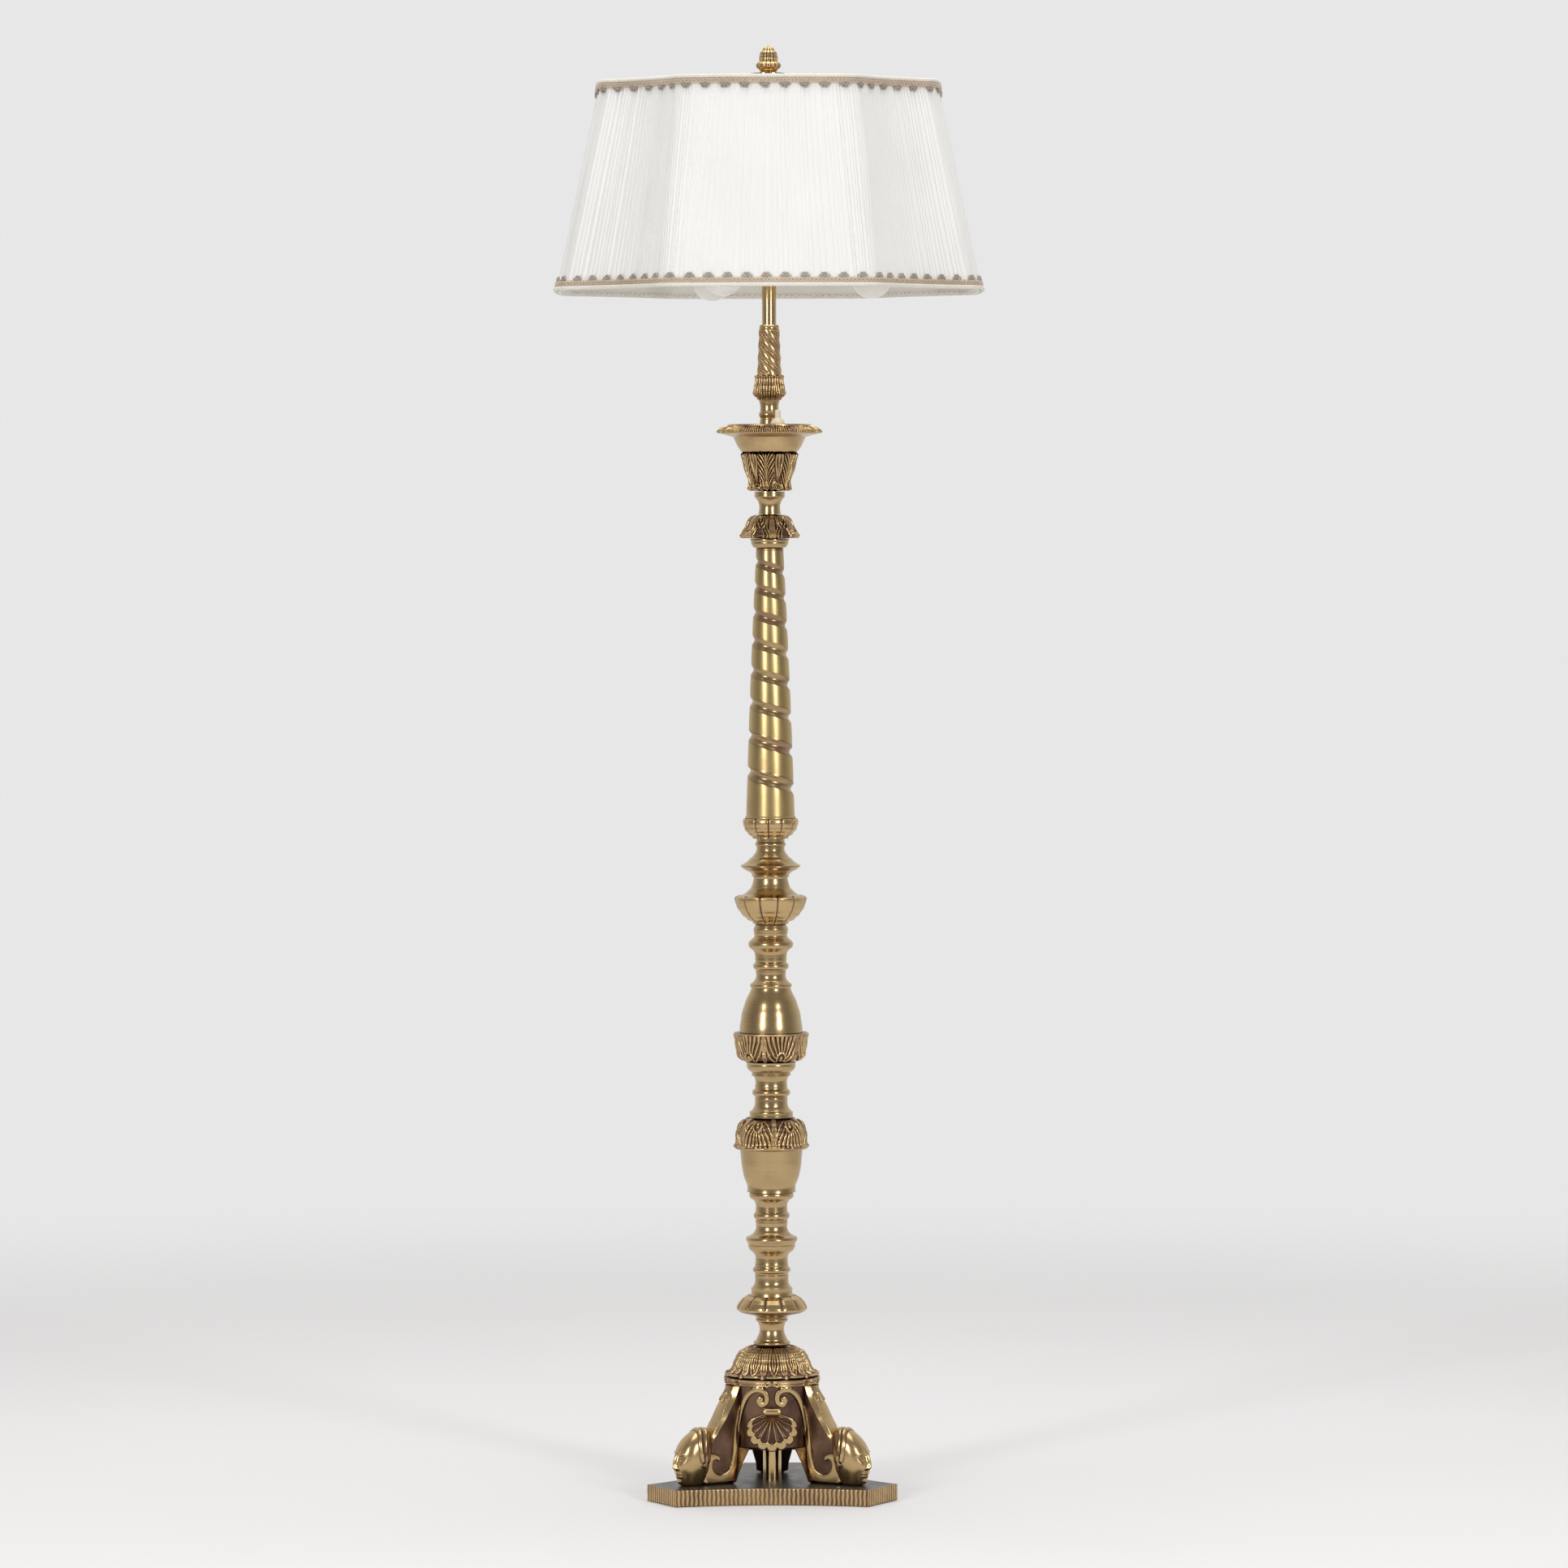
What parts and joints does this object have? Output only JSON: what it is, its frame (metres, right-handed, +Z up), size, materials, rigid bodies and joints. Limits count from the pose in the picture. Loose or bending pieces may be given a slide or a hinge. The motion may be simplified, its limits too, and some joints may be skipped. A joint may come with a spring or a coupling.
{
  "type": "candlestick floor lamp",
  "caption": "Tall brass candlestick floor lamp: turned and leafed standard on a tripod foot, spiral column, drip pan with push switch, pleated cut-corner shade.",
  "frame": {"origin": "on the floor under the lamp's axis", "axes": "+Z up along the standard, -Y the front, where the shade's flat face and one shell panel look"},
  "size_m": [0.4726, 0.4726, 1.5984],
  "materials": {
    "antique_brass": "cast and gilded brass, brown in the hollows",
    "polished_brass": "polished tube brass",
    "dark_plate": "dark mottled top, brassed reeded edge",
    "steel": "zinc plated",
    "black_plastic": "moulded",
    "cream_plastic": "moulded cream",
    "opal_glass": "opal",
    "white_wire": "white coated wire",
    "pleated_silk": "fine knife pleats",
    "lining_cloth": "smooth lining",
    "gimp_braid": "woven braid with loops"
  },
  "bodies": {
    "standard": {"tripod_casting": "antique_brass", "foot_masks": "antique_brass", "shell_panels": "antique_brass", "ribbon_band": "antique_brass", "acanthus_dome": "antique_brass", "neck_waist": "antique_brass", "gadroon_dish": "antique_brass", "lower_baluster": "antique_brass", "ring_cup": "antique_brass", "vase_foot": "antique_brass", "lower_vase": "antique_brass", "lower_leaf_skirt": "antique_brass", "middle_baluster": "antique_brass", "cup_ring": "antique_brass", "upper_leaf_cup": "antique_brass", "upper_vase": "antique_brass", "ringed_baluster": "antique_brass", "reeded_bowl": "antique_brass", "saddle": "antique_brass", "edge_disc": "antique_brass", "column_bead": "antique_brass", "fluted_cup": "antique_brass", "spiral_column": "antique_brass", "column_cap": "antique_brass", "leaf_bell": "antique_brass", "candle_neck": "antique_brass", "acanthus_cup": "antique_brass", "drip_pan": "antique_brass", "stem_neck": "antique_brass", "small_leaf_cup": "antique_brass", "rope_sleeve": "antique_brass", "stem_ring": "polished_brass", "upper_tube": "polished_brass", "cluster_hub": "polished_brass", "cluster_arms": "polished_brass", "centre_tube": "polished_brass", "cover_disc": "polished_brass", "base_plate": "dark_plate", "cord_bush": "black_plastic", "base_lock_nut": "steel", "base_washer": "steel", "centre_rod": "steel", "shade_seat_nut": "steel", "switch_body": "cream_plastic", "lamp_holders": "cream_plastic"},
    "shade": {"shade_frame": "white_wire", "shade_spider": "white_wire", "shade_cover": "pleated_silk", "shade_lining": "lining_cloth", "bottom_braid": "gimp_braid", "top_braid": "gimp_braid"},
    "finial": {"finial": "antique_brass"},
    "switch_button": {"switch_button": "cream_plastic"},
    "opal_bulb_1": {"opal_bulb_1": "opal_glass"},
    "opal_bulb_2": {"opal_bulb_2": "opal_glass"},
    "opal_bulb_3": {"opal_bulb_3": "opal_glass"}
  },
  "joints": [
    {"name": "shade_swivel", "type": "hinge", "parent": "standard", "child": "shade", "pos_m": [0, 0, 1.56], "axis": [0, 0, 1], "continuous": true},
    {"name": "finial_turn", "type": "hinge", "parent": "standard", "child": "finial", "pos_m": [0, 0, 1.58], "axis": [0, 0, 1], "continuous": true},
    {"name": "switch_press", "type": "slide", "parent": "standard", "child": "switch_button", "axis": [0, 0, -1], "range_m": [0, 0.003], "stiffness_N_per_m": 400, "springref_m": -0.001},
    {"name": "bulb_1_turn", "type": "hinge", "parent": "standard", "child": "opal_bulb_1", "pos_m": [0.11272, 0.00788, 1.4], "axis": [0, 0, 1], "continuous": true},
    {"name": "bulb_2_turn", "type": "hinge", "parent": "standard", "child": "opal_bulb_2", "pos_m": [-0.06319, 0.09368, 1.4], "axis": [0, 0, 1], "continuous": true},
    {"name": "bulb_3_turn", "type": "hinge", "parent": "standard", "child": "opal_bulb_3", "pos_m": [-0.04954, -0.10156, 1.4], "axis": [0, 0, 1], "continuous": true}
  ]
}
